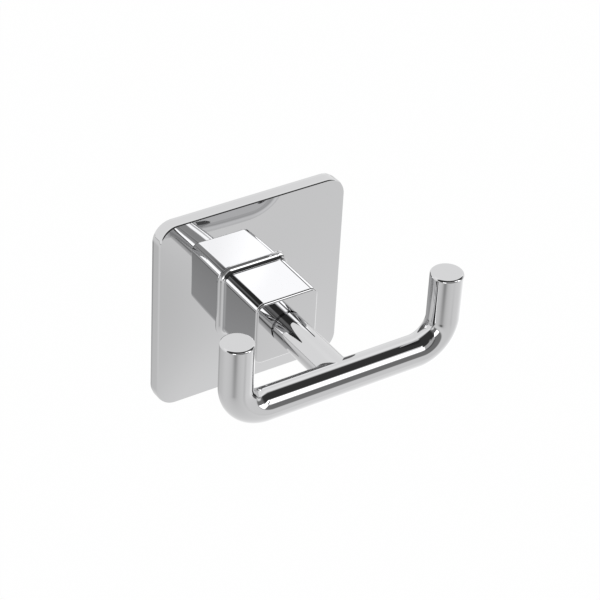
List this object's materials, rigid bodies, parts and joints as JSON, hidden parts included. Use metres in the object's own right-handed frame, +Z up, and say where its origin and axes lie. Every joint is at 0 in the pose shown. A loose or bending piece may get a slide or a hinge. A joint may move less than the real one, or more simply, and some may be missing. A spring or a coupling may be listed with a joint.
{
  "type": "double coat hook",
  "caption": "Wall coat hook in polished chrome: a square plate and post carry a round stem and a bar whose ends bend up into arms for robes and towels.",
  "frame": {"origin": "in the plane of the wall, at the centre of the square plate and of the spigot's staked end", "axes": "+Z up, +Y into the wall, -Y out into the room, +X to the right for someone who faces the wall"},
  "size_m": [0.0644, 0.0645, 0.051],
  "materials": {
    "chrome": "mirror polished chrome plate on brass",
    "zinc_plated_steel": "pressed steel, bright zinc plated",
    "bare_steel": "drawn steel bar, machined ends",
    "black_steel": "black oxide on hardened steel, slightly oily"
  },
  "bodies": {
    "root": {"cover_plate": "chrome", "post": "chrome", "hook_stem": "chrome", "hook_bar": "chrome", "stem_screw": "black_steel", "stem_flat_washer": "zinc_plated_steel", "stem_lock_washer": "zinc_plated_steel", "wall_bracket": "zinc_plated_steel", "bracket_spigot": "bare_steel", "grub_screw": "black_steel", "wall_screw_left": "zinc_plated_steel", "wall_screw_right": "zinc_plated_steel"}
  },
  "joints": []
}
